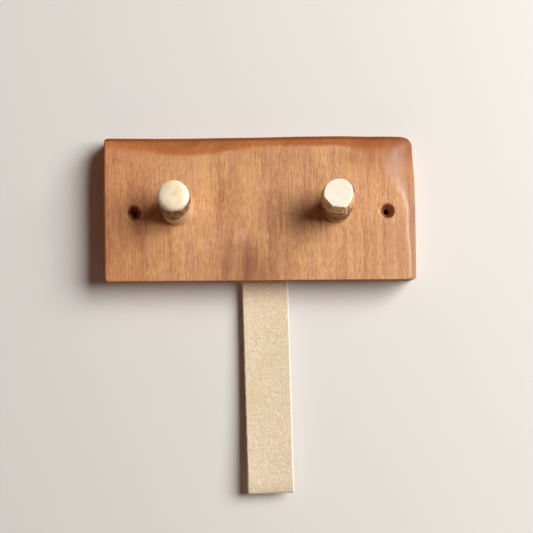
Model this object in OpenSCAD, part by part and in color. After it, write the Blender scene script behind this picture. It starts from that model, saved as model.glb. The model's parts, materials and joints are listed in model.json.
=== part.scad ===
// Wall rack with two branch pegs and a hanging leather strop, in millimetres.
// +X is to the viewer's right, +Y into the wall, +Z up. The origin is on the wall
// face, midway between the two wall screw holes.

/* [Board] */
// Width of the board
board_w = 233; // [225:1:240]
// Height of the board at its left end
board_h = 108.4; // [104:0.1:114]
// Drop of the top edge from the left end to the right end
top_fall = 0.2; // [0:0.1:3]
// Thickness of the board
board_t = 24; // [20:0.5:26]
// Height of the wall screws above the lower edge
hole_h = 51; // [48:1:54]
// Radius of the rounded top right corner
corner_r = 8; // [4:0.5:10]
// How far the right side eases in towards that corner
side_ease = 1.8; // [0.5:0.1:3]

/* [Knife-cut bevel] */
// Depth of the top bevel at the shallow stretches
bevel_min = 7; // [5:0.5:9]
// Extra depth where the bevel dips lowest
bevel_dip = 9.5; // [4:0.1:12]
// Place of the dip along X
bevel_dip_x = -58; // [-65:1:-45]
// Half width of the dip
bevel_dip_w = 54; // [30:1:60]
// Extra depth where the bevel runs into the right end
bevel_end = 8; // [4:0.5:14]
// How far the bevel runs back, as a share of its depth
bevel_back = 0.6; // [0.4:0.05:0.8]
// Width of the right end's bevel at the top
end_bevel_top = 11; // [6:0.5:13]
// Width of the right end's bevel at the bottom
end_bevel_low = 4; // [2:0.5:6]

/* [Wall screw holes] */
// Distance between the two wall screws
screw_spacing = 189; // [186:1:194]
// Diameter of the screw holes
screw_d = 4; // [3.5:0.1:5]
// Diameter of the head recesses
recess_d = 9.5; // [9:0.5:12]
// Diameter of the recesses' eased mouths
mouth_d = 11.8; // [11:0.1:14]
// Depth of the head recesses, with their conical floors
recess_depth = 9; // [6:0.5:11]

/* [Pegs] */
// Length of each peg in front of the board
peg_len = 40; // [30:1:50]
// Upward tilt of the pegs
peg_tilt = 10.6; // [4:0.1:12]
// Height of the pegs above the wall screws
peg_z = 2.5; // [0:0.1:6]
// Place of the left peg along X
left_peg_x = -61.4; // [-64:0.1:-56]
// Diameter of the left peg's bare foot and of its socket
left_foot_d = 23; // [20:0.2:24]
// Diameter of the left peg over its bark
left_bark_d = 22.8; // [21:0.2:26]
// Length of bare wood between the board and the left peg's bark
left_collar = 12; // [3:0.5:14]
// Place of the right peg along X
right_peg_x = 58.2; // [56:0.1:64]
// Diameter of the right peg's bare foot and of its socket
right_foot_d = 21.2; // [20:0.2:24]
// Diameter of the right peg over its bark
right_bark_d = 24.6; // [21:0.2:26]
// Length of bare wood between the board and the right peg's bark
right_collar = 3; // [3:0.5:12]
// Thickness of the bark
bark_t = 1.4; // [1:0.1:2]
// Depth of the peg sockets along the peg
socket_depth = 15; // [12:0.5:16]

/* [Strop] */
// Width of the leather
strop_w = 35; // [30:1:40]
// Thickness of the leather
strop_t = 3; // [2.5:0.1:3.5]
// Length of leather that hangs below the board
strop_hang = 160.6; // [130:0.1:180]
// Length of leather held behind the board
strop_held = 46; // [40:1:48]
// Place of the leather along X at the board's lower edge
strop_x = 2.9; // [2:0.1:5]
// Sideways drift of the leather for each mm it hangs
strop_lean = 0.021; // [0:0.001:0.03]
// How far the lower end stands further out from the wall
strop_bow = 5.5; // [2:0.5:8]

/* [Strop fixing] */
// Diameter of the fixing screws' shanks
fix_d = 3; // [2.5:0.1:3.2]
// Length of the fixing screws under their heads
fix_len = 13; // [11:0.5:13.5]
// Distance between the fixing screws across the leather
fix_dx = 18; // [14:1:20]
// Distance between the fixing screws along the leather
fix_dz = 24; // [20:1:26]

/* [Hidden] */
$fn = 48;

board_colour = [0.74, 0.52, 0.36];
wood_colour = [0.95, 0.87, 0.76];
bark_colour = [0.52, 0.36, 0.24];
leather_colour = [0.90, 0.82, 0.69];
steel_colour = [0.70, 0.70, 0.72];

// Board
left = -board_w / 2;
right = board_w / 2;
low = -hole_h;
high_left = board_h - hole_h;
ease_z = 16;            // height where the right side starts to ease in
clear = 2;              // how far cutters run past what they cut
mouth_depth = 2.4;      // how deep the recesses' mouths are eased
mouth_flare = mouth_d - recess_d;   // their growth over that depth
floor_depth = 3;        // height of the recesses' conical floors
bevel_steps = 44;
end_steps = 10;
bevel_end_from = 58;    // where the bevel starts to deepen towards the right end
bevel_end_over = 40;    // and the stretch over which it does
end_bevel_back = 0.55;  // how far the end bevel runs back, as a share of its width

// Leather pocket in the back of the board
pocket_depth = 6;
pocket_side = 1;        // room beside the leather
pocket_top = 2;         // room above the leather

// Pegs
glue_gap = 1;           // room behind the foot in its socket
bark_end = 6;           // bare wood between the bark and the peg's end
bare_step = 0.4;        // how far the bare end stands inside the bark
left_lean = 0;          // how far each peg leans to the left, in degrees
right_lean = 2.8;
left_shoulder = [8.5, 5];   // rounding of each peg's end: across, along
right_shoulder = [1.4, 1.6];
left_dome = 1;          // rise of each end's middle
right_dome = 0.2;
arc_steps = 8;

// Leather
leather_y = -pocket_depth + strop_t / 2;
fold = 0.3;             // gap between two lengths of leather where they turn
swing_z = low - strop_t / 2 - 1;
strop_end_z = low - strop_hang;
curl_z = swing_z - (swing_z - strop_end_z) / 2;
profile_steps = 6;

// Fixing screws
fix_row_z = low + 12;
head_d = 6;
head_h = 1.8;
washer_d = 9;
washer_t = 1;
hole_room = 0.4;        // how much wider leather and washer holes are than the shank
tip_len = 2.5;
slot_w = 0.9;
slot_l = 3.6;
slot_depth = 1.1;

function smooth(t) = let (u = max(0, min(1, t))) u * u * (3 - 2 * u);

function top_z(x) = high_left - top_fall * (x - left) / board_w;

function bevel_depth(x) =
    bevel_min
    + bevel_dip * exp(-pow((x - bevel_dip_x) / bevel_dip_w, 2))
    + bevel_end * smooth((x - bevel_end_from) / bevel_end_over);

// Triangle that the top bevel removes at x
function bevel_triangle(x) =
    let (
        d = bevel_depth(x),
        b = d * bevel_back,
        over = 0.4,
        y0 = -board_t - over * b,
        z1 = top_z(x) + over * d
    )
    [
        [x, y0, z1],
        [x, y0, top_z(x) - d - over * d],
        [x, -board_t + b + over * b, z1]
    ];

// Triangle that the right end's bevel removes at z
function end_triangle(z) =
    let (
        t = (z - low) / board_h,
        w = end_bevel_low + (end_bevel_top - end_bevel_low) * t,
        b = w * end_bevel_back,
        over = 0.4,
        y0 = -board_t - over * b,
        x1 = right + over * w
    )
    [
        [x1, y0, z],
        [x1, -board_t + b + over * b, z],
        [right - w - over * w, y0, z]
    ];

// Closed solid through a row of triangles
module loft(rows) {
    last = len(rows) - 1;
    polyhedron(
        points = [for (row = rows) each row],
        faces = [
            [0, 1, 2],
            [3 * last, 3 * last + 2, 3 * last + 1],
            for (i = [0 : last - 1], j = [0 : 2])
                let (k = (j + 1) % 3)
                each [
                    [3 * i + j, 3 * i + 3 + j, 3 * i + k],
                    [3 * i + k, 3 * i + 3 + j, 3 * i + 3 + k]
                ]
        ]
    );
}

// Extrudes an outline drawn in X and Z from y0 to y1
module through(y0, y1) {
    translate([0, y1, 0])
        rotate([90, 0, 0])
            linear_extrude(height = y1 - y0)
                children();
}

module board_outline() {
    corner = [right - side_ease - corner_r, top_z(right) - corner_r];
    polygon(concat(
        [[left, low], [right, low], [right, ease_z]],
        [
            for (i = [0 : arc_steps])
                corner + corner_r * [cos(90 * i / arc_steps), sin(90 * i / arc_steps)]
        ],
        [[left, high_left]]
    ));
}

// Axis of a peg: local +Z runs out of the board from its front face
module on_peg(x, lean) {
    translate([x, -board_t, peg_z])
        rotate([90 - peg_tilt, 0, -lean])
            children();
}

module peg_socket(foot_d) {
    translate([0, 0, -socket_depth])
        cylinder(d = foot_d, h = socket_depth + 2 * clear);
}

module wall_screw_hole(x) {
    translate([x, 0, 0])
        rotate([90, 0, 0]) {
            translate([0, 0, -clear])
                cylinder(d = screw_d, h = board_t + 2 * clear);
            translate([0, 0, board_t - recess_depth])
                cylinder(d1 = screw_d, d2 = recess_d, h = floor_depth);
            translate([0, 0, board_t - recess_depth + floor_depth])
                cylinder(d = recess_d, h = recess_depth - floor_depth + clear);
            translate([0, 0, board_t - mouth_depth])
                cylinder(d1 = recess_d, d2 = mouth_d + mouth_flare, h = 2 * mouth_depth);
        }
}

module leather_pocket() {
    wide = strop_w + 2 * pocket_side;
    held_mid_x = strop_x - strop_lean * strop_held / 2;
    translate([held_mid_x - wide / 2, -pocket_depth, low - clear])
        cube([wide, pocket_depth + clear, strop_held + pocket_top + clear]);
}

module backboard() {
    color(board_colour)
        difference() {
            through(-board_t, 0)
                board_outline();
            loft([
                for (i = [0 : bevel_steps])
                    bevel_triangle(left - clear + (board_w + 2 * clear) * i / bevel_steps)
            ]);
            loft([
                for (i = [0 : end_steps])
                    end_triangle(low - clear + (board_h + 2 * clear) * i / end_steps)
            ]);
            for (side = [-1, 1])
                wall_screw_hole(side * screw_spacing / 2);
            on_peg(left_peg_x, left_lean)
                peg_socket(left_foot_d);
            on_peg(right_peg_x, right_lean)
                peg_socket(right_foot_d);
            leather_pocket();
            for (i = [1 : 4])
                on_fixing(i)
                    translate([0, 0, pocket_depth])
                        cylinder(d = fix_d, h = fixing_reach() - pocket_depth);
        }
}

// Wood of a peg: a round foot in its socket, a bare collar, the core and a bare end
module peg_wood(foot_d, bark_d, collar, shoulder, dome) {
    core_top = peg_len - bark_end;
    end_r = bark_d / 2 - bare_step;
    rotate_extrude()
        polygon(concat(
            [
                [0, glue_gap - socket_depth],
                [foot_d / 2, glue_gap - socket_depth],
                [foot_d / 2, collar],
                [foot_d / 2 - bark_t, collar],
                [bark_d / 2 - bark_t, core_top],
                [end_r, core_top]
            ],
            [
                for (i = [0 : arc_steps])
                    let (a = 90 * i / arc_steps)
                    [
                        end_r - shoulder[0] * (1 - cos(a)),
                        peg_len - dome - shoulder[1] * (1 - sin(a))
                    ]
            ],
            [[0, peg_len]]
        ));
}

// Bark of a peg: a sleeve grown around its core
module peg_bark(foot_d, bark_d, collar) {
    core_top = peg_len - bark_end;
    rotate_extrude()
        polygon([
            [foot_d / 2 - bark_t, collar],
            [foot_d / 2, collar],
            [bark_d / 2, core_top],
            [bark_d / 2 - bark_t, core_top]
        ]);
}

module left_peg() {
    color(wood_colour)
        on_peg(left_peg_x, left_lean)
            peg_wood(left_foot_d, left_bark_d, left_collar, left_shoulder, left_dome);
}

module left_peg_bark() {
    color(bark_colour)
        on_peg(left_peg_x, left_lean)
            peg_bark(left_foot_d, left_bark_d, left_collar);
}

module right_peg() {
    color(wood_colour)
        on_peg(right_peg_x, right_lean)
            peg_wood(right_foot_d, right_bark_d, right_collar, right_shoulder, right_dome);
}

module right_peg_bark() {
    color(bark_colour)
        on_peg(right_peg_x, right_lean)
            peg_bark(right_foot_d, right_bark_d, right_collar);
}

function leather_x(z) = strop_x + strop_lean * (low - z);

// The leather stands further out from the wall towards its lower end
function leather_mid_y(z) =
    let (t = max(0, (swing_z - z) / (swing_z - strop_end_z)))
    leather_y - strop_bow * t * t;

module leather_width(z0, z1) {
    through(-board_t - strop_bow, clear)
        polygon([
            for (p = [[-1, z0], [1, z0], [1, z1], [-1, z1]])
                [leather_x(p[1]) + p[0] * strop_w / 2, p[1]]
        ]);
}

// Side outline of a length of leather from z0 up to z1, in Y and Z
function leather_side(z0, z1, round_top) =
    let (r = strop_t / 2)
    concat(
        [
            for (i = [0 : profile_steps])
                let (z = z0 + (z1 - z0) * i / profile_steps)
                [leather_mid_y(z) + r, z]
        ],
        [
            if (round_top)
                for (i = [1 : arc_steps - 1])
                    let (a = 180 * i / arc_steps)
                    [leather_mid_y(z1) + r * cos(a), z1 + r * sin(a)]
        ],
        [
            for (i = [profile_steps : -1 : 0])
                let (z = z0 + (z1 - z0) * i / profile_steps)
                [leather_mid_y(z) - r, z]
        ]
    );

// A length of leather from z0 up to z1, with a round top where it turns on a fold
module leather_length(z0, z1, round_top) {
    intersection() {
        translate([-board_w / 2, 0, 0])
            rotate([90, 0, 90])
                linear_extrude(height = board_w)
                    polygon(leather_side(z0, z1, round_top));
        leather_width(z0 - strop_t, z1 + strop_t);
    }
}

module strop_held_end() {
    color(leather_colour)
        difference() {
            leather_length(swing_z + strop_t / 2 + fold, low + strop_held, false);
            for (i = [1 : 4])
                on_fixing(i)
                    cylinder(d = fix_d + hole_room, h = board_t);
        }
}

module strop_upper_length() {
    color(leather_colour)
        leather_length(curl_z + strop_t / 2 + fold, swing_z, true);
}

module strop_lower_length() {
    color(leather_colour)
        leather_length(strop_end_z, curl_z, true);
}

// Depth of a fixing screw's tip below the wall face
function fixing_reach() = pocket_depth - strop_t - washer_t + fix_len;

// Place of fixing screw i: local +Z runs from the wall face into the board
module on_fixing(i) {
    col = (i - 1) % 2;
    row = floor((i - 1) / 2);
    z = fix_row_z + row * fix_dz;
    translate([leather_x(z) + (col - 0.5) * fix_dx, 0, z])
        rotate([90, 0, 0])
            children();
}

module strop_screw(i) {
    under_head = pocket_depth - strop_t - washer_t;
    color(steel_colour)
        on_fixing(i)
            difference() {
                union() {
                    translate([0, 0, under_head - head_h])
                        cylinder(d1 = head_d - 1, d2 = head_d, h = head_h / 3);
                    translate([0, 0, under_head - head_h * 2 / 3])
                        cylinder(d = head_d, h = head_h * 2 / 3);
                    translate([0, 0, under_head])
                        cylinder(d = fix_d, h = fix_len - tip_len);
                    translate([0, 0, under_head + fix_len - tip_len])
                        cylinder(d1 = fix_d, d2 = 0.4, h = tip_len);
                }
                for (turn = [0, 90])
                    rotate([0, 0, turn])
                        translate([-slot_l / 2, -slot_w / 2, under_head - head_h - clear])
                            cube([slot_l, slot_w, slot_depth + clear]);
            }
}

module strop_washer(i) {
    color(steel_colour)
        on_fixing(i)
            translate([0, 0, pocket_depth - strop_t - washer_t])
                difference() {
                    cylinder(d = washer_d, h = washer_t);
                    translate([0, 0, -clear])
                        cylinder(d = fix_d + hole_room, h = washer_t + 2 * clear);
                }
}

backboard();
left_peg();
left_peg_bark();
right_peg();
right_peg_bark();
strop_held_end();
strop_upper_length();
strop_lower_length();
for (i = [1 : 4]) {
    strop_screw(i);
    strop_washer(i);
}
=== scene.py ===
"""Leather strop rack: a hardwood board with two branch pegs and a hanging strip of suede leather."""
import json
import math

import bmesh
import bpy
import numpy as np
from mathutils import Matrix, Vector, noise


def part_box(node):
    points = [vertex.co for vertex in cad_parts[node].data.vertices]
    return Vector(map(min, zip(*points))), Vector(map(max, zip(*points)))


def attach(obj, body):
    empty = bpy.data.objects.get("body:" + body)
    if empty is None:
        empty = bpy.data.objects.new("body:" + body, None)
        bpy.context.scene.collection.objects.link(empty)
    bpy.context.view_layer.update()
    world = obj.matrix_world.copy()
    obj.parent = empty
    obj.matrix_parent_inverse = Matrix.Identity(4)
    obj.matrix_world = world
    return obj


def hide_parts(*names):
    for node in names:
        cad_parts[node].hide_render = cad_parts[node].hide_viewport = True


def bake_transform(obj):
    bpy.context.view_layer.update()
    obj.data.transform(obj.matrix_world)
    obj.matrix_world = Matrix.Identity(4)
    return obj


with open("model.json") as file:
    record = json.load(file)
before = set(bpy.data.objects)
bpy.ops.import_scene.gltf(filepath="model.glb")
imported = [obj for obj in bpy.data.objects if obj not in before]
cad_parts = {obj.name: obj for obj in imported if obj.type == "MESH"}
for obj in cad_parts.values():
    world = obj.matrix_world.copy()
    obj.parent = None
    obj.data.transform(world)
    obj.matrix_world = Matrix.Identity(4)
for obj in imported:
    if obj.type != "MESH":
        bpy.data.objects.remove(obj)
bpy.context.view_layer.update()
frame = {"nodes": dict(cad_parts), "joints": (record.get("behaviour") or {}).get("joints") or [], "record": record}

MM = 0.001

# ---------------------------------------------------------------- camera
# Square to the wall, as the photograph's is, so upright lines stay parallel.
CAMERA_AT = Vector((14.1, -924, -83.8)) * MM
CAMERA_ROLL = math.radians(-0.5)
LENS = 81.7
SHIFT = (-0.0253, 0.1090)   # sideways and upwards, as shares of the picture


def make_camera():
    data = bpy.data.cameras.new("camera")
    data.lens = LENS
    data.sensor_width = 36
    data.shift_x, data.shift_y = SHIFT
    camera = bpy.data.objects.new("camera", data)
    bpy.context.scene.collection.objects.link(camera)
    turn = Matrix.Rotation(math.radians(90), 4, "X") @ Matrix.Rotation(CAMERA_ROLL, 4, "Z")
    camera.matrix_world = Matrix.Translation(CAMERA_AT) @ turn
    bpy.context.scene.camera = camera


make_camera()


# ---------------------------------------------------------------- small helpers
def srgb(r, g, b):
    """A colour given as 0 to 255, as the linear colour that nodes take."""
    def linear(v):
        v /= 255
        return v / 12.92 if v <= 0.04045 else ((v + 0.055) / 1.055) ** 2.4
    return (linear(r), linear(g), linear(b), 1.0)


def smooth(t):
    t = min(1.0, max(0.0, t))
    return t * t * (3 - 2 * t)


def lerp(a, b, t):
    return a + (b - a) * t


def bell(x, middle, width):
    """1 at the middle, and falling smoothly away over about width mm on either side."""
    return math.exp(-(((x - middle) / width) ** 2))


def soft_max(a, b, blend):
    """The larger of a and b, rounded over where they're within blend of each other."""
    h = max(blend - abs(a - b), 0) / blend
    return max(a, b) + h * h * blend / 4


def bumpy(x, y, z, size, seed=0.0):
    """Smooth noise from -1 to 1 that changes over about size mm; x, y, z are in mm."""
    return noise.noise(Vector((x / size + seed, y / size + 1.7 * seed, z / size - seed)))


def new_object(name, vertices, faces, material, smooth_angle=35):
    mesh = bpy.data.meshes.new(name)
    mesh.from_pydata(vertices, [], faces)
    mesh.validate()
    mesh.materials.append(material)
    finish_shading(mesh, smooth_angle)
    made = bpy.data.objects.new(name, mesh)
    bpy.context.scene.collection.objects.link(made)
    return made


def finish_shading(mesh, smooth_angle):
    mesh.shade_smooth()
    mesh.set_sharp_from_angle(angle=math.radians(smooth_angle))


def face_outwards(mesh):
    shape = bmesh.new()
    shape.from_mesh(mesh)
    bmesh.ops.recalc_face_normals(shape, faces=shape.faces)
    shape.to_mesh(mesh)
    shape.free()


# ---------------------------------------------------------------- material helper
class Shader:
    """Builds one material. Inputs may be sockets or plain values."""

    def __init__(self, name):
        self.material = bpy.data.materials.new(name)
        self.material.use_nodes = True
        self.tree = self.material.node_tree
        self.tree.nodes.clear()

    def node(self, kind, inputs=(), **settings):
        made = self.tree.nodes.new("ShaderNode" + kind)
        for key, value in settings.items():
            setattr(made, key, value)
        for key, value in dict(inputs).items():
            if isinstance(value, bpy.types.NodeSocket):
                self.tree.links.new(value, made.inputs[key])
            elif value is not None:
                made.inputs[key].default_value = value
        return made

    def place(self, attribute=None):
        """Position on the piece in millimetres, at rest."""
        if attribute:
            source = self.node("Attribute", attribute_name=attribute).outputs["Vector"]
        else:
            source = self.node("TexCoord").outputs["Object"]
        return self.vector("SCALE", source, scale=1000)

    def vector(self, operation, a, b=None, scale=None):
        inputs = {0: a}
        if b is not None:
            inputs[1] = b
        if scale is not None:
            inputs["Scale"] = scale
        made = self.node("VectorMath", inputs, operation=operation)
        return made.outputs["Value" if operation in ("LENGTH", "DOT_PRODUCT") else "Vector"]

    def math(self, operation, a, b=None):
        return self.node("Math", {0: a, 1: b}, operation=operation).outputs[0]

    def parts(self, vector):
        """The x, y and z of a vector."""
        return self.node("SeparateXYZ", {0: vector}).outputs

    def noise(self, where, scale, detail=2.0, rough=0.5):
        inputs = {"Vector": where, "Scale": scale, "Detail": detail, "Roughness": rough}
        return self.node("TexNoise", inputs).outputs["Fac"]

    def noise_vector(self, where, scale, amount):
        """where, pushed about by up to amount mm."""
        made = self.node("TexNoise", {"Vector": where, "Scale": scale, "Detail": 2.0})
        centred = self.vector("SUBTRACT", made.outputs["Color"], (0.5, 0.5, 0.5))
        return self.vector("ADD", where, self.vector("SCALE", centred, scale=2 * amount))

    def cells(self, where, scale):
        return self.node("TexVoronoi", {"Vector": where, "Scale": scale}).outputs["Distance"]

    def steps(self, value, low, high, to_low=0.0, to_high=1.0):
        """value, smoothly mapped from low..high to to_low..to_high."""
        inputs = {"Value": value, "From Min": low, "From Max": high, "To Min": to_low,
                  "To Max": to_high}
        return self.node("MapRange", inputs, interpolation_type="SMOOTHSTEP").outputs[0]

    def ramp(self, value, stops):
        made = self.node("ValToRGB", {"Fac": value})
        points = made.color_ramp.elements
        while len(points) < len(stops):
            points.new(0.5)
        for point, (position, colour) in zip(points, stops):
            point.position, point.color = position, colour
        return made.outputs["Color"]

    def mix(self, share, a, b, mode="MIX"):
        made = self.node("Mix", data_type="RGBA", blend_type=mode)
        for key, value in ((0, share), (6, a), (7, b)):
            if isinstance(value, bpy.types.NodeSocket):
                self.tree.links.new(value, made.inputs[key])
            else:
                made.inputs[key].default_value = value
        return made.outputs[2]

    def bump(self, height, distance):
        """The normal over height, which is distance mm deep."""
        inputs = {"Height": height, "Distance": distance * MM, "Strength": 1.0}
        return self.node("Bump", inputs).outputs["Normal"]

    def end(self, colour, roughness, normal=None, **sockets):
        """Closes the material with one shader; sockets are its further inputs."""
        inputs = {"Base Color": colour, "Roughness": roughness, "Normal": normal}
        inputs.update({key.replace("_", " "): value for key, value in sockets.items()})
        shader = self.node("BsdfPrincipled", inputs)
        out = self.node("OutputMaterial")
        self.tree.links.new(shader.outputs[0], out.inputs[0])
        return self.material


# ---------------------------------------------------------------- materials
MOUNTS = {m["name"]: m for m in frame["record"]["mounts"]}
WALL_SCREWS = MOUNTS["wall_screws"]["dims"]
SCREW_X = WALL_SCREWS["spacing_x_mm"] / 2       # the wall screws stand either side of the middle
# Growth rings run round a heart that lies behind the board, so lines stand upright on
# the front and curve over the bevel.
HEART = (-55.0, 33.0)


def board_material():
    s = Shader("oiled_hardwood")
    at = s.place()
    x, deep, _ = s.parts(at)

    # The fibres weave from side to side, most of all towards the right
    weave = s.noise(s.vector("MULTIPLY", at, (0.05, 0.05, 0.085)), 1.0, 2, 0.55)
    reach = s.steps(x, 15, 75, 0.8, 3.0)
    shift = s.math("MULTIPLY", s.math("SUBTRACT", weave, 0.5), reach)
    push = s.node("CombineXYZ", {0: shift, 1: 0.0, 2: 0.0}).outputs[0]
    woven = s.vector("ADD", at, push)
    swayed = s.noise_vector(s.vector("MULTIPLY", woven, (1, 1, 0.25)), 0.022, 5.0)
    from_heart = s.vector("MULTIPLY", s.vector("SUBTRACT", swayed, (HEART[0], HEART[1], 0)),
                          (1, 1, 0))
    z = s.parts(woven)[2]
    ring = s.vector("LENGTH", from_heart)

    def rings(per_mm, along, detail, rough):
        where = s.node("CombineXYZ", {0: s.math("MULTIPLY", ring, per_mm),
                                      1: s.math("MULTIPLY", x, 0.25 * per_mm),
                                      2: s.math("MULTIPLY", z, along)}).outputs[0]
        return s.noise(where, 1.0, detail, rough)

    broad = rings(0.075, 0.012, 2, 0.5)
    streak = rings(0.30, 0.020, 3, 0.6)
    hue = s.noise(s.vector("MULTIPLY", woven, (1, 1, 0.22)), 0.085, 3, 0.55)
    ripple = s.noise(s.vector("MULTIPLY", woven, (0.5, 0.5, 1)), 0.17, 2, 0.5)
    dash = s.noise(s.vector("MULTIPLY", woven, (1, 1, 0.16)), 1.35, 2, 0.6)
    line = s.noise(s.vector("MULTIPLY", woven, (1, 1, 0.035)), 0.85, 2, 0.6)
    hair = s.noise(s.vector("MULTIPLY", woven, (1, 1, 0.10)), 2.6, 2, 0.6)

    colour = s.ramp(broad, [
        (0.30, srgb(188, 130, 88)), (0.44, srgb(206, 148, 102)),
        (0.56, srgb(220, 165, 114)), (0.72, srgb(206, 148, 107))])
    colour = s.mix(s.steps(hue, 0.46, 0.66, 0.0, 0.45), colour, srgb(207, 148, 118))
    colour = s.mix(s.steps(hue, 0.50, 0.34, 0.0, 0.42), colour, srgb(222, 172, 110))
    colour = s.mix(s.steps(streak, 0.47, 0.72, 0.0, 0.34), colour, srgb(228, 180, 124))
    colour = s.mix(s.steps(streak, 0.48, 0.27, 0.0, 0.36), colour, srgb(166, 106, 74))
    colour = s.mix(s.steps(ripple, 0.42, 0.70, 0.0, 0.16), colour, srgb(170, 112, 76))
    colour = s.mix(s.steps(line, 0.49, 0.32, 0.0, 0.26), colour, srgb(158, 96, 66))
    colour = s.mix(s.steps(line, 0.51, 0.68, 0.0, 0.24), colour, srgb(236, 184, 124))
    colour = s.mix(s.steps(dash, 0.48, 0.32, 0.0, 0.42), colour, srgb(156, 94, 70))
    colour = s.mix(s.steps(dash, 0.52, 0.68, 0.0, 0.36), colour, srgb(234, 190, 142))
    colour = s.mix(s.steps(hair, 0.46, 0.30, 0.0, 0.35), colour, srgb(140, 84, 58))

    # Paler and darker places, matched one by one: place, half sizes, strength, tint
    pale, dark = srgb(232, 186, 124), srgb(132, 80, 72)
    for across, height, wide, tall, strength, tint in (
        (-41, 26, 5, 34, 0.40, pale), (-15, 24, 9, 40, 0.34, pale), (66, 30, 8, 30, 0.25, pale),
        (-22.5, -30, 5, 22, 0.85, dark), (-7.5, -42, 6, 26, 0.85, dark),
        (-8, -44, 42, 30, 0.95, srgb(146, 90, 58)), (84, 45, 32, 20, 1.2, srgb(172, 110, 64)),
        (100, -16, 10, 36, 0.55, srgb(184, 134, 108)),
    ):
        away = s.vector("SUBTRACT", woven, (across, 0, height))
        away = s.vector("LENGTH", s.vector("MULTIPLY", away, (1 / wide, 0, 1 / tall)))
        spot = s.math("MULTIPLY", s.steps(away, 1.1, 0.1), s.steps(streak, 0.30, 0.62, 1.0, 0.5))
        colour = s.mix(s.math("MULTIPLY", spot, strength), colour, tint)
    # The left end is a little darker and redder
    colour = s.mix(s.steps(x, -40, -112, 0.0, 0.50), colour, srgb(236, 208, 186), "MULTIPLY")

    # Cut faces are darker and more orange than the front, as matched. The tints marked
    # painted-in light go by the way a face turns and hold for the key light's side only
    rightward, forward, upward = s.parts(s.node("NewGeometry").outputs["Normal"])
    level = s.math("ABSOLUTE", forward)
    mirrored = s.vector("MULTIPLY", s.vector("ABSOLUTE", at), (1, 0, 1))
    from_hole = s.vector("LENGTH", s.vector("SUBTRACT", mirrored, (SCREW_X, 0, 0)))
    carved = s.math("MULTIPLY", s.steps(level, 0.995, 0.90), s.steps(from_hole, 7, 9))
    dots = s.noise(s.vector("MULTIPLY", at, (1, 1, 0.6)), 0.9, 3, 0.65)
    growth = rings(0.42, 0.01, 2, 0.5)
    cut_colour = s.ramp(growth, [
        (0.34, srgb(172, 101, 52)), (0.48, srgb(184, 112, 60)), (0.66, srgb(196, 126, 70))])
    cut_colour = s.mix(s.steps(hue, 0.40, 0.62, 0.0, 0.4), cut_colour, srgb(174, 96, 46))
    cut_colour = s.mix(s.steps(dots, 0.52, 0.34, 0.0, 0.35), cut_colour, srgb(132, 72, 36))
    cut_colour = s.mix(s.steps(dots, 0.54, 0.70, 0.0, 0.35), cut_colour, srgb(216, 150, 92))
    cut_colour = s.mix(s.steps(x, -5, 25, 0.0, 0.45), cut_colour, srgb(146, 76, 36))
    # Painted-in light: cut faces that look up are darkened
    cut_colour = s.mix(s.steps(upward, 0.40, 0.80, 0.0, 0.85), cut_colour, srgb(104, 52, 24))
    # Painted-in light: the rounded right end keeps more of the front's colour, but for its top
    right_end_painted_light = s.math("MULTIPLY", s.steps(rightward, 0.12, 0.40), s.steps(z, 48, 30))
    strength = s.math("SUBTRACT", 0.92, s.math("MULTIPLY", right_end_painted_light, 0.50))
    colour = s.mix(s.math("MULTIPLY", carved, strength), colour, cut_colour)
    # Painted-in light: faces that turn right are toned down a little
    turned = s.math("MULTIPLY", s.steps(rightward, 0.04, 0.30), s.steps(from_hole, 7, 9))
    colour = s.mix(turned, colour, srgb(222, 220, 208), "MULTIPLY")
    tight = s.steps(z, 28, 8)       # the end turns more tightly lower down

    # Painted-in light: the screw holes are pale on one wall and dark further in
    lit = s.math("MULTIPLY", s.steps(from_hole, 6.1, 5.4, 0.0, 0.30), s.steps(rightward, 0.2, 0.6))
    colour = s.mix(s.math("MULTIPLY", lit, s.steps(deep, -17, -20)), colour, srgb(236, 206, 164))
    inside = s.math("MULTIPLY", s.steps(from_hole, 5.7, 4.9, 0.0, 0.40), s.steps(deep, -21, -18))
    colour = s.mix(inside, colour, srgb(92, 42, 26))

    height = s.math("ADD", s.math("MULTIPLY", dash, 0.5), s.math("MULTIPLY", hair, 0.5))
    # Matched: the knife-cut bevel is dull, and the rounded right end has a sheen
    dull = s.math("MULTIPLY", carved, s.steps(rightward, 0.30, 0.10))
    roughness = s.math("ADD", s.steps(streak, 0.3, 0.7, 0.38, 0.46), s.math("MULTIPLY", dull, 0.25))
    sheen = s.math("MULTIPLY", turned, s.steps(tight, 0.0, 1.0, 0.09, 0.48))
    sheen = s.math("ADD", s.steps(dull, 0.0, 1.0, 0.32, 0.12), sheen)
    rough_end = s.math("MULTIPLY", turned, s.steps(tight, 1.0, 0.0, 0.0, 0.04))
    roughness = s.math("ADD", roughness, rough_end)
    return s.end(colour, roughness, s.bump(height, 0.12), Specular_IOR_Level=sheen)


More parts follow.
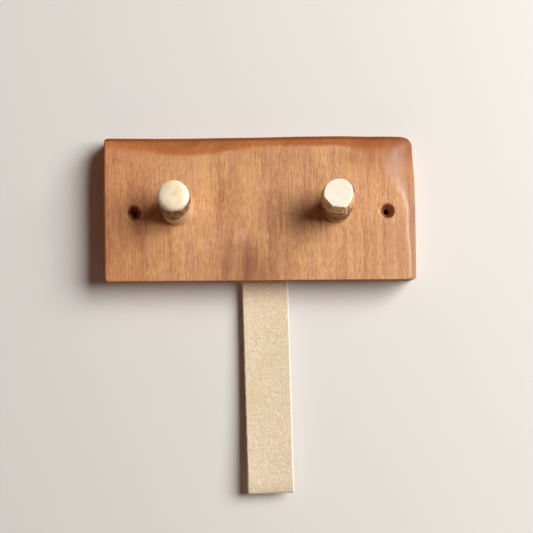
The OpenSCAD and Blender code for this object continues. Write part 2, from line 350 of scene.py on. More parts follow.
def peg_material():
    s = Shader("bare_branch_wood")
    at = s.place("peg")          # across, across and along the peg
    skin = s.node("Attribute", attribute_name="skin").outputs["Vector"]
    _, tan, pale = s.parts(skin)
    along = s.parts(at)[2]
    radius = s.vector("LENGTH", s.vector("MULTIPLY", at, (1, 1, 0)))
    ring = s.vector("LENGTH", s.vector("MULTIPLY", s.noise_vector(at, 0.12, 1.0), (1, 1, 0)))
    rings = s.noise(s.node("CombineXYZ", {0: ring, 1: 0.0, 2: 0.0}).outputs[0], 1.3, 1, 0.5)
    patch = s.noise(at, 0.16, 3, 0.55)
    lines = s.noise(s.vector("MULTIPLY", at, (1, 1, 0.06)), 1.6, 2, 0.6)
    specks = s.noise(at, 0.9, 3, 0.65)

    colour = s.ramp(patch, [
        (0.30, srgb(238, 212, 172)), (0.50, srgb(244, 226, 194)), (0.70, srgb(249, 238, 218))])
    colour = s.mix(s.steps(rings, 0.55, 0.75, 0.0, 0.20), colour, srgb(226, 198, 154))
    colour = s.mix(s.steps(lines, 0.50, 0.72, 0.0, 0.22), colour, srgb(226, 196, 152))
    colour = s.mix(s.math("MULTIPLY", pale, 0.75), colour, srgb(249, 241, 224))
    # Painted-in light: the side of a domed end that faces right is grey-white
    rightward = s.parts(s.node("NewGeometry").outputs["Normal"])[0]
    right_side_painted_highlight = s.math("MULTIPLY", s.steps(rightward, 0.15, 0.75), s.steps(along, 34.5, 36.0))
    colour = s.mix(s.math("MULTIPLY", right_side_painted_highlight, 0.7), colour, srgb(216, 214, 214))
    pith = s.math("MULTIPLY", s.steps(radius, 1.2, 0.3), s.steps(along, 37.0, 38.5))
    colour = s.mix(s.math("MULTIPLY", pith, 0.25), colour, srgb(206, 168, 118))

    # Under the bark the wood is tan, with paler and greener scraps of inner bark
    under = s.ramp(specks, [
        (0.30, srgb(176, 134, 92)), (0.45, srgb(208, 172, 128)), (0.58, srgb(226, 200, 162)),
        (0.72, srgb(238, 226, 200))])
    colour = s.mix(tan, colour, under)
    height = s.math("ADD", s.math("MULTIPLY", patch, 0.6), s.math("MULTIPLY", lines, 0.4))
    return s.end(colour, 0.50, s.bump(height, 0.25), Specular_IOR_Level=0.35,
                 Subsurface_Weight=0.25, Subsurface_Radius=(1.4, 0.7, 0.3),
                 Subsurface_Scale=2 * MM)


def bark_material():
    s = Shader("bark")
    at = s.place("peg")
    skin = s.node("Attribute", attribute_name="skin").outputs["Vector"]
    depth, _, worn = s.parts(skin)
    swayed = s.noise_vector(at, 0.2, 1.4)
    long = s.vector("MULTIPLY", swayed, (1, 1, 0.5))
    plates = s.noise(long, 0.30, 4, 0.62)
    fissures = s.cells(long, 0.36)
    fine = s.noise(at, 1.3, 3, 0.7)
    colour = s.ramp(plates, [
        (0.30, srgb(92, 50, 32)), (0.42, srgb(150, 100, 66)), (0.54, srgb(174, 128, 88)),
        (0.64, srgb(200, 162, 120)), (0.78, srgb(150, 88, 62))])
    colour = s.mix(s.steps(fissures, 0.42, 0.75, 0.0, 0.50), colour, srgb(106, 46, 34))
    colour = s.mix(s.steps(fine, 0.55, 0.75, 0.0, 0.35), colour, srgb(202, 178, 142))
    inner = s.mix(s.steps(fine, 0.40, 0.60), srgb(112, 62, 40), srgb(164, 116, 76))
    colour = s.mix(s.steps(depth, 0.30, 0.75), colour, inner)
    rubbed = s.mix(s.steps(fine, 0.35, 0.65), srgb(200, 156, 98), srgb(226, 190, 136))
    colour = s.mix(worn, colour, rubbed)
    height = s.math("ADD", plates, s.math("MULTIPLY", fine, 0.35))
    return s.end(colour, 0.72, s.bump(height, 0.8), Specular_IOR_Level=0.25)


def leather_material():
    s = Shader("suede_leather")
    at = s.place("rest")
    side = s.node("Attribute", attribute_name="side").outputs["Vector"]
    _, back, edge = s.parts(side)
    swayed = s.noise_vector(at, 0.4, 0.8)
    worms = s.noise(s.vector("MULTIPLY", swayed, (1, 1, 0.8)), 1.15, 2, 0.6)
    grit = s.noise(at, 1.9, 2, 0.7)
    patch = s.noise(at, 0.06, 3, 0.55)
    wrinkle_at = s.vector("MULTIPLY", s.noise_vector(at, 0.1, 2.0), (0.12, 1, 1))
    wrinkle = s.noise(wrinkle_at, 0.55, 2, 0.5)

    suede = s.ramp(worms, [
        (0.30, srgb(216, 190, 152)), (0.44, srgb(230, 208, 174)),
        (0.56, srgb(237, 219, 188)), (0.72, srgb(244, 231, 205))])
    suede = s.mix(s.steps(grit, 0.53, 0.67, 0.0, 0.65), suede, srgb(206, 168, 118))
    suede = s.mix(s.steps(grit, 0.46, 0.32, 0.0, 0.65), suede, srgb(252, 246, 232))
    suede = s.mix(s.steps(patch, 0.45, 0.70, 0.0, 0.35), suede, srgb(222, 198, 160))
    suede = s.mix(s.steps(wrinkle, 0.56, 0.70, 0.0, 0.16), suede, srgb(204, 172, 130))

    grain_cells = s.cells(swayed, 1.1)
    grain = s.mix(s.steps(grain_cells, 0.2, 0.6), srgb(196, 150, 104), srgb(222, 184, 138))
    grain = s.mix(s.steps(patch, 0.40, 0.70, 0.0, 0.5), grain, srgb(206, 164, 118))
    # The cut edges are pale like the leather's fibres, and drawn blue-white as painted highlight
    cut = s.mix(s.steps(grit, 0.35, 0.65), srgb(224, 226, 222), srgb(240, 246, 252))

    colour = s.mix(s.steps(back, 0.3, 0.7), suede, grain)
    colour = s.mix(s.steps(edge, 0.35, 0.80), colour, cut)
    nap = s.math("ADD", s.math("MULTIPLY", worms, 0.6), s.math("MULTIPLY", grit, 0.4))
    height = s.math("ADD", nap, s.math("MULTIPLY", wrinkle, 0.5))
    return s.end(colour, 0.85, s.bump(height, 0.45), Specular_IOR_Level=0.15,
                 Sheen_Weight=0.25, Sheen_Roughness=0.5)


def steel_material():
    s = Shader("zinc_plated_steel")
    at = s.place()
    blotch = s.noise(at, 0.8, 3, 0.6)
    scratch = s.noise(s.vector("MULTIPLY", at, (1, 1, 0.1)), 5.0, 2, 0.6)
    colour = s.ramp(blotch, [(0.3, srgb(150, 150, 152)), (0.7, srgb(205, 204, 200))])
    roughness = s.steps(scratch, 0.3, 0.7, 0.28, 0.45)
    return s.end(colour, roughness, s.bump(scratch, 0.03), Metallic=1.0)


BOARD = board_material()
PEG = peg_material()
BARK = bark_material()
LEATHER = leather_material()
STEEL = steel_material()


# ---------------------------------------------------------------- board
board_low, board_high = (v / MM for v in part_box("backboard"))
LEFT, RIGHT = board_low.x, board_high.x
LOW, HIGH = board_low.z, board_high.z
THICK = -board_low.y
WIDE, TALL = RIGHT - LEFT, HIGH - LOW
EDGE = {"left": 2.0, "right": 0.35, "low": 0.7, "top": 0.35}   # front edge rounding
CORNERS = {"top_right": 8.0, "top_left": 2.5, "low_right": 2.5, "low_left": 2.2}
RIGHT_EASE = 1.8            # how far the right side eases in towards its top
BACK_EDGE = 0.6


def top_z(x):
    """Height of the top edge, which dips a little left of the middle."""
    return HIGH - 0.2 - 0.5 * bell(x, -2, 24)


def bevel_depth(x):
    """How far down the front the top bevel reaches: deepest on the left and at the right end."""
    dip = 9.5 * bell(x, -60, 60 if x < -60 else 50)
    return 7.0 + dip + 2.4 * bell(x, 42, 28) + 7 * smooth((x - 52) / 34)


def bevel_cut(x, z):
    """How far the bevel alone would cut the front back."""
    down = z - top_z(x) + bevel_depth(x)
    return 0.45 * down + 0.012 * max(0, down) ** 2 + 0.2 * bumpy(x, 0, z, 14, 3.1)


def bevel_softness(x):
    """Crisp along the deep stretch of the bevel, and faded out at both ends."""
    soft = lerp(7.0, 1.6, smooth((x + 116) / 70))
    return lerp(soft, 6.0, smooth((x - 60) / 30))


def end_cut(x, z):
    """The right end is rounded over, more and more towards the top."""
    h = z - LOW
    gap = side_x(True, h, 0) - x
    # The rounding reaches this far in from the side
    reach = 6.2 + 2.4 * smooth((h - 12) / 30) + 20 * smooth((h - 48) / 46) ** 1.2
    crown = 0.5 * max(0.0, 1 - gap / 30) ** 2
    turn = min(1.0, max(0.0, 1 - gap / reach))
    rounding = 0.55 * turn * turn + 0.45 * (1 - math.sqrt(1 - turn * turn))
    return crown + min(reach, 12.5) * rounding


def front_cut(x, z):
    """How far the front is cut back at x, z."""
    top = soft_max(0.0, bevel_cut(x, z), bevel_softness(x))
    # The last few mm below the top edge turn over
    brow = 2.6 * max(0.0, 1 - (top_z(x) - z) / 3.2) ** 2
    return math.hypot(top + brow, end_cut(x, z))


def side_x(right, h, inset):
    """Where a row at height h of TALL ends, with rounded corners, moved in by inset."""
    low_r = CORNERS["low_right" if right else "low_left"]
    top_r = CORNERS["top_right" if right else "top_left"]
    ease = RIGHT_EASE * smooth((h - 66) / 38) if right else 0.15 * bumpy(0, 0, h, 30, 2.0)
    gap = 0.0
    if h > TALL - top_r:
        gap = top_r - math.sqrt(max(0.0, top_r ** 2 - (h - TALL + top_r) ** 2))
    if h < low_r:
        gap = low_r - math.sqrt(max(0.0, low_r ** 2 - (low_r - h) ** 2))
    reach = gap + ease + inset
    return RIGHT - reach if right else LEFT + reach


def column_shares():
    """Where the columns stand across the board, closer together where the end turns."""
    turned = 18 / WIDE          # the right end's turn takes 18 mm
    flat = [(1 - turned) * i / 215 for i in range(215)]
    return flat + [1 - turned * (1 - math.sin(math.radians(4 * k))) for k in range(22)] + [1.0]


def row_heights():
    """Heights of the board's rows, closer together round the corners."""
    low = [3 * (1 - math.cos(math.radians(a))) for a in range(0, 91, 15)]
    top = [TALL - 9 + 9 * math.sin(math.radians(a)) for a in range(0, 91, 5)]
    count = 96
    return low + [lerp(low[-1], top[0], i / count) for i in range(1, count)] + top


def outline_point(u, h, left_in, right_in, low_in, top_in):
    """Point at share u across and height h, on the outline moved in by these amounts."""
    x = lerp(side_x(False, h, left_in), side_x(True, h, right_in), u)
    low, top = LOW + low_in, top_z(x) - top_in
    return x, lerp(low, top, h / TALL)


def board_shell():
    """Front and back grids, joined by rounded edges."""
    rows, shares = row_heights(), column_shares()
    nr, nc = len(rows), len(shares)
    cols = nc - 1
    grid = [(u, h) for h in rows for u in shares]
    rim = list(range(nc))
    rim += [j * nc + cols for j in range(1, nr)]
    rim += [(nr - 1) * nc + i for i in range(cols - 1, -1, -1)]
    rim += [j * nc for j in range(nr - 2, 0, -1)]

    vertices, faces = [], []
    inner = [outline_point(u, h, EDGE["left"], EDGE["right"], EDGE["low"], EDGE["top"])
             for u, h in grid]
    outer = [outline_point(*grid[k], 0, 0, 0, 0) for k in rim]
    for x, z in inner:
        vertices.append((x, front_cut(x, z) - THICK, z))
    for j in range(nr - 1):
        for i in range(cols):
            a = j * nc + i
            faces.append((a, a + 1, a + nc + 1, a + nc))

    loop = rim
    arc = 5                     # steps round the front's edge
    for step in range(1, arc + 1):
        angle = math.pi / 2 * step / arc
        fresh = []
        for k, (ox, oz) in zip(rim, outer):
            ix, iy, iz = vertices[k]
            reach = math.hypot(ox - ix, oz - iz)
            fresh.append(len(vertices))
            vertices.append((lerp(ix, ox, math.sin(angle)),
                             iy + 0.8 * reach * (1 - math.cos(angle)),
                             lerp(iz, oz, math.sin(angle))))
        loop = join_loops(faces, loop, fresh)
    starts = [vertices[k][1] for k in loop]
    for step in range(1, 6):
        fresh = []
        for (ox, oz), y in zip(outer, starts):
            fresh.append(len(vertices))
            vertices.append((ox, lerp(y, -BACK_EDGE, step / 5), oz))
        loop = join_loops(faces, loop, fresh)
    base = len(vertices)
    for u, h in grid:
        x, z = outline_point(u, h, BACK_EDGE, BACK_EDGE, BACK_EDGE, BACK_EDGE)
        vertices.append((x, 0, z))
    fresh = []
    for k, (ox, oz) in zip(rim, outer):
        bx, _, bz = vertices[base + k]
        fresh.append(len(vertices))
        vertices.append((lerp(ox, bx, 0.3), -0.3 * BACK_EDGE, lerp(oz, bz, 0.3)))
    loop = join_loops(faces, loop, fresh)
    join_loops(faces, loop, [base + k for k in rim])
    for j in range(nr - 1):
        for i in range(cols):
            a = base + j * nc + i
            faces.append((a, a + nc, a + nc + 1, a + 1))
    return vertices, faces


def join_loops(faces, one, two):
    """Adds the faces between two rings of as many points, and returns the second."""
    n = len(one)
    for i in range(n):
        k = (i + 1) % n
        faces.append((one[i], two[i], two[k], one[k]))
    return two


def lathe(profile, count):
    """Vertices and faces of a closed turned shape; profile is (radius, along) from foot to end."""
    vertices, faces = [(0, 0, profile[0][1])], []
    for r, along in profile:
        for i in range(count):
            a = 2 * math.pi * i / count
            vertices.append((r * math.cos(a), r * math.sin(a), along))
    vertices.append((0, 0, profile[-1][1]))
    for i in range(count):
        k = (i + 1) % count
        faces.append((0, 1 + k, 1 + i))
        for j in range(len(profile) - 1):
            a = 1 + j * count
            faces.append((a + i, a + k, a + count + k, a + count + i))
        a = 1 + (len(profile) - 1) * count
        faces.append((a + i, a + k, len(vertices) - 1))
    return vertices, faces


def cut(target, tool):
    """Takes tool away from target for good."""
    change = target.modifiers.new("cut", "BOOLEAN")
    change.object = tool
    change.operation = "DIFFERENCE"
    change.solver = "EXACT"
    depsgraph = bpy.context.evaluated_depsgraph_get()
    mesh = bpy.data.meshes.new_from_object(target.evaluated_get(depsgraph))
    target.modifiers.clear()
    target.data = mesh
    bpy.data.objects.remove(tool)


def screw_hole_tool(x):
    """A screw hole and its head recess, with a conical floor and an eased mouth."""
    hole_r = WALL_SCREWS["hole_r_mm"]
    head = MOUNTS["left_head_recess"]
    floor = -head["pos_m"][1] / MM - head["dims"]["length_mm"] / 2
    wall = head["dims"]["r_mm"]
    profile = [
        (hole_r + 0.4, -1.0), (hole_r + 0.4, 0.0), (hole_r, 0.4), (hole_r, floor - 3.2),
        (hole_r + 0.25, floor - 2.8), (wall - 0.2, floor - 0.2), (wall, floor + 0.3),
        (wall, THICK - 3.6), (wall + 0.3, THICK - 2.4), (wall + 0.65, THICK - 1.2),
        (wall + 0.95, THICK - 0.5), (wall + 1.2, THICK - 0.1), (wall + 1.5, THICK + 0.05),
        (wall + 2.1, THICK + 4)]
    vertices, faces = lathe(profile, 72)
    tool = new_object("tool", [(v[0] + x, -v[2], v[1]) for v in vertices], faces, BOARD)
    face_outwards(tool.data)
    return tool


def pocket_tool():
    """The pocket that the leather lies in, with a router's round corners."""
    held_low, held_high = (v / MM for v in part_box("strop_held_end"))
    mid = (held_low.x + held_high.x) / 2
    half, top, corner, deep = 18.6, held_high.z + 2, 3.0, 6.0
    outline = [(-half, LOW - 4), (half, LOW - 4)]
    for start, sign in ((0, 1), (90, -1)):
        for step in range(7):
            a = math.radians(start + 15 * step)
            outline.append((sign * (half - corner) + corner * math.cos(a),
                            top - corner + corner * math.sin(a)))
    n = len(outline)
    vertices = [(mid + x, -deep, z) for x, z in outline] + [(mid + x, 3, z) for x, z in outline]
    faces = [tuple(range(n)), tuple(range(2 * n - 1, n - 1, -1))]
    faces += [(i, n + i, n + (i + 1) % n, (i + 1) % n) for i in range(n)]
    tool = new_object("tool", vertices, faces, BOARD)
    face_outwards(tool.data)
    return tool


def make_board():
    vertices, faces = board_shell()
    board = new_object("board", vertices, faces, BOARD)
    face_outwards(board.data)
    for x in (-SCREW_X, SCREW_X):
        cut(board, screw_hole_tool(x))
    cut(board, pocket_tool())
    board.data.transform(Matrix.Scale(MM, 4))
    finish_shading(board.data, 38)
    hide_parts("backboard")
    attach(board, "rack")


make_board()


# ---------------------------------------------------------------- pegs
PEG_LEN = 40.0              # out of the board, along the peg
SOCKET = 14.0               # how far a peg's foot goes into the board
BARK_T = 1.25
BARK_IN = 0.3               # how far the bark's edge dives into the wood where there's none


class Branch:
    """One peg: its place, lean and sizes in mm. Local +Z runs out of the board."""
    AROUND = 144

    def __init__(self, name, x, z, tilt, lean, foot_r, bark_r, collar, seed):
        self.name, self.foot_r, self.bark_r, self.collar = name, foot_r, bark_r, collar
        self.seed = seed
        turn = (Matrix.Rotation(math.radians(-lean), 4, "Z")
                @ Matrix.Rotation(math.radians(90 - tilt), 4, "X"))
        self.matrix = Matrix.Translation((x, -THICK, z)) @ turn

    def lumps(self, a, along, size, seed):
        return bumpy(8 * math.cos(a), 8 * math.sin(a), along, size, seed + self.seed)

    def skin_r(self, a, along):
        """Radius over the bark."""
        grow = smooth((along - 0.6 * self.collar) / 24)
        base = lerp(self.foot_r, self.bark_r, grow)
        return base + 0.35 * self.lumps(a, 0.4 * along, 7, 1.0)

    def bark_low(self, a):
        """Where the bark starts; it's cut back further on the right."""
        back = self.slant * smooth((math.cos(a) + 0.15) / 1.0)
        return self.collar + back + 1.3 * self.lumps(a, 3, 5, 4.0)

    def bark_on(self, a, along):
        """1 where bark is left on, 0 where the wood is bare."""
        top = smooth((self.bark_top(a) - along) / 0.9)
        low = smooth((along - self.bark_low(a)) / 1.3)
        return top * low * (1 - self.torn(a, along))

    def torn(self, a, along):
        return 0.0

    def worn(self, a, along):
        """1 where the bark is rubbed down to its tan inner layer."""
        return 0.0

    def tan(self, a, along, depth):
        """1 where the wood still has the tan layer from under the bark."""
        return smooth((self.bark_low(a) + 3 - along) / 3)

    def wood_profile(self, a):
        """(radius, along) up the side, from the foot to the rim of the end."""
        top = self.rim(a)
        points = []
        for j in range(71):
            along = lerp(-SOCKET, top, j / 70)
            if along < 0:
                points.append((self.foot_r - 0.05, along))
                continue
            under = self.skin_r(a, along) - lerp(0.15, BARK_T, self.bark_on(a, along))
            points.append((min(under, self.cut_r(a, along)), along))
        return points + self.end_profile(a, points[-1][0])

    def make_wood(self):
        profiles = [self.wood_profile(2 * math.pi * i / self.AROUND) for i in range(self.AROUND)]
        vertices, skins = [(0, 0, -SOCKET)], [(9, 0, 0)]
        for i, profile in enumerate(profiles):
            a = 2 * math.pi * i / self.AROUND
            for r, along in profile:
                vertices.append((r * math.cos(a), r * math.sin(a), along))
                depth = self.skin_r(a, along) - r
                skins.append((depth, self.tan(a, along, depth), self.pale))
        vertices.append((0, 0, PEG_LEN))
        skins.append((9, 0, self.pale))
        n, faces = len(profiles[0]), []
        for i in range(self.AROUND):
            one, two = 1 + i * n, 1 + (i + 1) % self.AROUND * n
            faces.append((0, two, one))
            for j in range(n - 1):
                faces.append((one + j, two + j, two + j + 1, one + j + 1))
            faces.append((one + n - 1, two + n - 1, len(vertices) - 1))
        self.add(self.name + "_wood", vertices, faces, skins, PEG, "peg_wood", self.name, 32)

    def bark_radii(self, a, along):
        """Outer and inner radius of the bark; it dives into the wood where there's none."""
        skin, cut = self.skin_r(a, along), self.cut_r(a, along)
        under = skin - BARK_T
        rough = 0.26 * self.lumps(a, 0.5 * along, 2.2, 9.0) + 0.15 * self.lumps(a, along, 0.9, 5.0)
        full = under + (BARK_T + rough) * self.bark_on(a, along)
        full -= BARK_IN * (1 - self.bark_on(a, along))
        outer = min(full, cut) - 0.4 * smooth((under + 0.15 - cut) / 0.25)
        return outer, min(skin - BARK_T - 0.5, outer - 0.3)

    def make_bark(self):
        steps = 72
        low, high = self.collar - 3.0, self.bark_end
        vertices, skins, faces = [], [], []
        for i in range(self.AROUND):
            a = 2 * math.pi * i / self.AROUND
            heights = [lerp(low, high, j / steps) for j in range(steps + 1)]
            radii = [self.bark_radii(a, along) for along in heights]
            outer = [(r[0], along) for r, along in zip(radii, heights)]
            inner = [(r[1], along) for r, along in zip(radii, heights)]
            for r, along in outer + inner[::-1]:
                vertices.append((r * math.cos(a), r * math.sin(a), along))
                skins.append((self.skin_r(a, along) - r, 0, self.worn(a, along)))
        ring = 2 * (steps + 1)
        for i in range(self.AROUND):
            one, two = i * ring, (i + 1) % self.AROUND * ring
            for j in range(ring):
                k = (j + 1) % ring
                faces.append((one + j, two + j, two + k, one + k))
        self.add(self.name + "_bark_skin", vertices, faces, skins, BARK, "bark",
                 self.name + "_bark", 70)

    def add(self, name, vertices, faces, skins, material, slot, node, angle):
        made = new_object(name, vertices, faces, material, angle)
        face_outwards(made.data)
        store(made.data, "peg", np.array(vertices) * MM)
        store(made.data, "skin", skins)
        made.data.transform(Matrix.Scale(MM, 4) @ self.matrix)
        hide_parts(node)
        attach(made, "rack")


class LeftBranch(Branch):
    """A smooth domed end, and a long bare collar."""
    DOME = 5.0
    pale = 0
    slant = 9.0
    bark_end = 34.9

    def rim(self, a):
        return PEG_LEN - self.DOME

    def cut_r(self, a, along):
        return 99.0

    def end_profile(self, a, rim_r):
        """The dome: full at its rim and nearly flat over its middle."""
        points = []
        for k in range(1, 26):
            t = math.pi / 2 * k / 26
            r = rim_r * math.cos(t) ** 0.66
            rise = self.DOME * math.sin(t) ** 0.66
            worn = 0.2 * bumpy(r * math.cos(a), r * math.sin(a), 0, 6, 2.0) * (k / 26)
            points.append((r, PEG_LEN - self.DOME + rise + worn))
        return points

    def bark_top(self, a):
        return 34.2 + 0.6 * self.lumps(a, 9, 4, 8.0)


class RightBranch(Branch):
    """A flat end with knife cuts round it, and a strip of bark torn away."""
    # Angle round the end, distance from the middle, and how fast the cut runs out
    CUTS = [(-27, 9.9, 0.80), (222, 9.35, 0.40), (262, 9.9, 0.30), (41, 10.9, 0.50)]
    RING = (0.9, -0.35, 10.9, 0.22)       # the rest is trimmed round: centre, radius, growth
    pale = 1
    slant = 0.0
    bark_end = PEG_LEN - 0.2

    def rim(self, a):
        return PEG_LEN - 0.25

    def cut_r(self, a, along):
        cx, cy, ring_r, ring_growth = self.RING
        side = cy * math.cos(a) - cx * math.sin(a)
        ring_r += ring_growth * (PEG_LEN - along) + 0.15 * self.lumps(a, 0, 4, 12.0)
        nearest = cx * math.cos(a) + cy * math.sin(a) + math.sqrt(ring_r ** 2 - side ** 2)
        for angle, distance, growth in self.CUTS:
            facing = math.cos(a - math.radians(angle))
            if facing > 0.35:
                reach = (distance + growth * (PEG_LEN - along)) / facing
                nearest = min(nearest, reach)
        return nearest

    def end_profile(self, a, rim_r):
        points = [(rim_r - 0.25, PEG_LEN - 0.05)]
        for k in range(1, 16):
            r = (rim_r - 0.25) * (1 - k / 16)
            worn = 0.12 * bumpy(r * math.cos(a), r * math.sin(a), 0, 5, 6.0) * (k / 16)
            points.append((r, PEG_LEN + worn))
        return points

    def bark_top(self, a):
        return 99.0

    def worn(self, a, along):
        below = smooth((math.cos(a - math.radians(265)) + 0.25) / 0.35)
        return 0.9 * below * smooth((along - 27.5 - 2.5 * self.lumps(a, 5, 5, 3.0)) / 2.5)

    def torn(self, a, along):
        off = abs((a - math.radians(-61) + math.pi) % (2 * math.pi) - math.pi) * 11
        return smooth((1.9 - off) / 0.9) * smooth((along - 17) / 4)

    def tan(self, a, along, depth):
        collar = smooth((self.bark_low(a) + 3 - along) / 3)
        cut = smooth((PEG_LEN - along - 0.25) / 1.2) * smooth((3.0 - depth) / 1.0)
        return max(collar, cut)


def store(mesh, name, values):
    """Keeps one vector a vertex under this name, for the materials."""
    attribute = mesh.attributes.new(name, "FLOAT_VECTOR", "POINT")
    attribute.data.foreach_set("vector", np.asarray(values, np.float32).ravel())


# Name, place across and up, tilt up and lean to the left in degrees, foot and bark radius,
# bare collar, and where in the noise it stands
PEGS = [
    LeftBranch("left_peg", -61.4, 2.5, 10.6, 0.2, 11.8, 11.6, 11.5, 0.0),
    RightBranch("right_peg", 58.2, 2.3, 10.6, 2.8, 10.7, 12.3, 3.0, 40.0),
]
for peg in PEGS:
    peg.make_wood()
    peg.make_bark()


# ---------------------------------------------------------------- strop
STROP_W, STROP_T = 35.0, 3.0
STROP_X = 2.9               # middle of the strip where it leaves the board
LEAN, BOW = 0.021, 5.5
held_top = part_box("strop_held_end")[1].z / MM
strop_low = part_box("strop_lower_length")[0].z / MM
joints = {j["name"]: j for j in frame["joints"]}
SWING = Vector(joints["strop_swing"]["pos_m"]) / MM
SEAM_Z = -82.0              # where the two meshes of the one strip meet, unseen
TIP, TIP_BACK = 11, 2.3     # length at the free end that curls back, and how far
ROUND = 0.9                 # rounding of the leather's cut edges


def leather_mid(z):
    """Middle of the strip at height z."""
    t = max(0.0, (SWING.z - z) / (SWING.z - strop_low))
    curl_back = TIP_BACK * max(0.0, (strop_low + TIP - z) / TIP) ** 2
    return STROP_X + LEAN * (LOW - z), SWING.y - BOW * t * t + curl_back


def leather_section(z):
    """Points round the strip at height z, each followed by (0, back, edge) for the material.

    back is 1 on the wall side, and edge grows to 1 over the middle of a cut edge.
    """
    mid_x, mid_y = leather_mid(z)
    half_w = STROP_W / 2
    half_t = STROP_T / 2
    left = half_w + 0.16 * bumpy(0, 0, z, 5, 1.0) + 0.10 * bumpy(0, 0, z, 1.2, 2.0)
    right = half_w + 0.16 * bumpy(0, 0, z, 6, 3.0) + 0.10 * bumpy(0, 0, z, 1.3, 4.0)
    end = smooth((z - strop_low) / 1.0)
    half_t = half_t * (0.35 + 0.65 * end)
    flat, corner = 66, 6
    points = []
    for back in (0, 1):
        order = range(flat + 1) if not back else range(flat, -1, -1)
        for i in order:
            u = i / flat
            x = lerp(-left + ROUND, right - ROUND, u)
            cup = 0.35 * (2 * u - 1) ** 2
            nap = 0.0
            if not back:
                nap = 0.10 * bumpy(x, 0, z, 1.5, 5.0) + 0.12 * bumpy(x, 0, z, 4.5, 9.0)
            y = (half_t if back else -half_t) - cup + nap
            points.append((mid_x + x, mid_y + y, z + LEAN * x, 0.0, back, 0.0))
        for i in range(1, corner):
            a = math.pi * i / corner
            side = -1 if back else 1
            reach = (left if back else right) - ROUND + ROUND * math.sin(a)
            y = side * -half_t * math.cos(a) - 0.35
            fuzz = 0.12 * bumpy(side * 9, y * 2, z, 0.9, 6.0) * math.sin(a)
            x = side * (reach + fuzz)
            wall_side = a < math.pi / 2 if back else a > math.pi / 2
            points.append((mid_x + x, mid_y + y, z + LEAN * x, 0.0, float(wall_side),
                           math.sin(a)))
    return points


def strip_mesh():
    """All rows of the strip from top to bottom, and where the seam's row is."""
    step = 0.6
    upper = int((held_top - SEAM_Z) / step)
    lower = int((SEAM_Z - strop_low) / step)
    heights = [lerp(held_top, SEAM_Z, i / upper) for i in range(upper + 1)]
    heights += [lerp(SEAM_Z, strop_low, i / lower) for i in range(1, lower + 1)]
    return [leather_section(z) for z in heights], upper


def leather_piece(name, rows):
    """A closed length of leather through these rows."""
    n = len(rows[0])        # points round the strip
    vertices = [p[:3] for row in rows for p in row]
    sides = [p[3:] for row in rows for p in row]
    faces = []
    for j in range(len(rows) - 1):
        for i in range(n):
            k = (i + 1) % n
            faces.append((j * n + i, (j + 1) * n + i, (j + 1) * n + k, j * n + k))
    half = n // 2
    for row, turn in ((0, 1), (len(rows) - 1, -1)):      # the ends, which face opposite ways
        for i in range(half - 1):
            quad = (row * n + i, row * n + i + 1, row * n + n - 2 - i, row * n + n - 1 - i)
            faces.append(quad[::turn])
    made = new_object(name, vertices, faces, LEATHER, 180)
    store(made.data, "rest", np.array(vertices) * MM)
    store(made.data, "side", sides)
    made.data.transform(Matrix.Scale(MM, 4))
    return made


def match_normals(pieces, rows, seam):
    """Gives both pieces the normals of the whole strip, so that the seam doesn't show."""
    p = np.array([[q[:3] for q in row] for row in rows])
    along = np.gradient(p, axis=0)
    around = (np.roll(p, -1, axis=1) - np.roll(p, 1, axis=1)) / 2
    normal = np.cross(along, around)
    normal /= np.linalg.norm(normal, axis=2)[..., None]
    for piece, part in zip(pieces, (normal[:seam + 1], normal[seam:])):
        part = part.reshape(-1, 3)
        corners = []
        for face in piece.data.polygons:
            cap = abs(face.normal.z) > 0.9
            corners += [tuple(face.normal if cap else part[k]) for k in face.vertices]
        piece.data.normals_split_custom_set(corners)


def make_strop():
    rows, seam = strip_mesh()
    top = leather_piece("strop_top", rows[:seam + 1])
    tail = leather_piece("strop_tail", rows[seam:])
    match_normals((top, tail), rows, seam)
    for piece, nodes, length in (
        (top, ("strop_held_end", "strop_upper_length"), held_top - SEAM_Z),
        (tail, ("strop_lower_length",), SEAM_Z - strop_low),
    ):
        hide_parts(*nodes)
    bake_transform(top)
    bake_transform(tail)


make_strop()

# ---------------------------------------------------------------- screws and washers
for name, node in frame["nodes"].items():
    if "screw" in name or "washer" in name:
        node.data.materials.clear()
        node.data.materials.append(STEEL)


# ---------------------------------------------------------------- stage and light
def plain_material(name, colour, one_sided):
    s = Shader(name)
    s.end(colour, 0.9)
    if one_sided:
        out = next(n for n in s.tree.nodes if n.type == "OUTPUT_MATERIAL")
        surface = out.inputs[0].links[0].from_socket
        behind = s.node("NewGeometry").outputs["Backfacing"]
        clear = s.node("BsdfTransparent").outputs[0]
        both = s.node("MixShader", {0: behind, 1: surface, 2: clear}).outputs[0]
        s.tree.links.new(both, out.inputs[0])
    return s.material


WALL_Y = 0.0006
FLOOR_Z = -2.3


def make_wall():
    """The wall is open behind the board, so that its back can be seen and lit."""
    opening = [(LEFT + 1.2, LOW + 1.2), (RIGHT - 1.2, LOW + 1.2), (RIGHT - 1.2, LOW + 62),
               (RIGHT - 3.2, HIGH - 8.5), (RIGHT - 5.6, HIGH - 3.6), (RIGHT - 10.5, HIGH - 1.6),
               (LEFT + 1.5, HIGH - 1.6)]
    side, top = 1.5, 1.2        # metres; the edge has as many points as the opening
    edge = [(-side, FLOOR_Z), (side, FLOOR_Z), (side, 0), (side, 0.8), (side, top), (1.2, top),
            (-side, top)]
    vertices = [(x, WALL_Y, z) for x, z in edge]
    vertices += [(x * MM, WALL_Y, z * MM) for x, z in opening]
    n, faces = len(edge), []
    join_loops(faces, list(range(n, 2 * n)), list(range(n)))
    new_object("wall", vertices, faces, plain_material("wall", srgb(226, 222, 216), True))


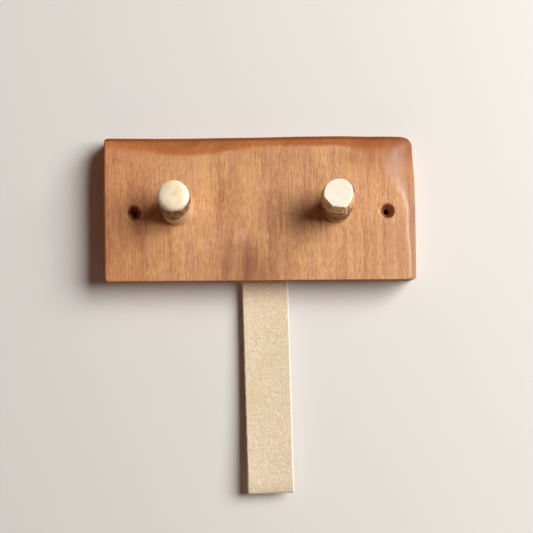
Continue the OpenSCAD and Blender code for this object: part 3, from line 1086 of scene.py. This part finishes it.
def make_hole_backs():
    """Near-black discs on the wall behind the screw holes, seen through them: painted shade."""
    radius, count = 2.4, 24
    vertices, faces = [], []
    for x in (-SCREW_X, SCREW_X):
        faces.append(tuple(range(len(vertices), len(vertices) + count)))
        for step in range(count):
            a = 2 * math.pi * step / count
            vertices.append(((x + radius * math.cos(a)) * MM, WALL_Y, radius * math.sin(a) * MM))
    new_object("screw_hole_backs", vertices, faces,
                        plain_material("dark", srgb(24, 18, 14), True))


def make_floor():
    half = 2.4
    corners = [(-half, -half), (half, -half), (half, half), (-half, half)]
    new_object("floor", [(x, y, FLOOR_Z) for x, y in corners], [(0, 1, 2, 3)],
                        plain_material("floor", srgb(222, 208, 192), False))


make_wall()
make_hole_backs()
make_floor()


def area_light(name, place, size, power, colour):
    """A lamp aimed at the rack; size is its width and height in metres, power is in watts."""
    data = bpy.data.lights.new(name, "AREA")
    data.shape = "RECTANGLE"
    data.size, data.size_y = size
    data.energy = power
    data.color = colour
    lamp = bpy.data.objects.new(name, data)
    bpy.context.scene.collection.objects.link(lamp)
    lamp.location = place
    aim = Vector((0, -0.02, -0.03)) - lamp.location
    lamp.rotation_euler = aim.to_track_quat("-Z", "Y").to_euler()


area_light("window", (1.69, -1.62, 0.70), (1.5, 1.75), 96.5, (0.985, 0.995, 1.0))
area_light("fill", (-0.7, -2.2, 0.6), (2.2, 2.2), 3.0, (1.0, 0.33, 0.20))
area_light("behind", (0.6, 1.8, 0.9), (1.6, 1.6), 40, (1.0, 0.98, 0.95))



def make_world():
    """A weak warm light from all round, and a plain pale studio to look at past the wall."""
    world = bpy.data.worlds.new("studio")
    world.use_nodes = True
    tree = world.node_tree
    seen = tree.nodes.new("ShaderNodeLightPath").outputs["Is Camera Ray"]
    both = tree.nodes.new("ShaderNodeMixShader")
    tree.links.new(seen, both.inputs[0])
    for slot, colour, strength in ((1, srgb(226, 170, 130), 0.025), (2, srgb(226, 222, 216), 0.8)):
        light = tree.nodes.new("ShaderNodeBackground")
        light.inputs["Color"].default_value = colour
        light.inputs["Strength"].default_value = strength
        tree.links.new(light.outputs[0], both.inputs[slot])
    out = next(n for n in tree.nodes if n.type == "OUTPUT_WORLD")
    tree.links.new(both.outputs[0], out.inputs["Surface"])
    bpy.context.scene.world = world


make_world()
bpy.context.scene.view_settings.view_transform = "Standard"
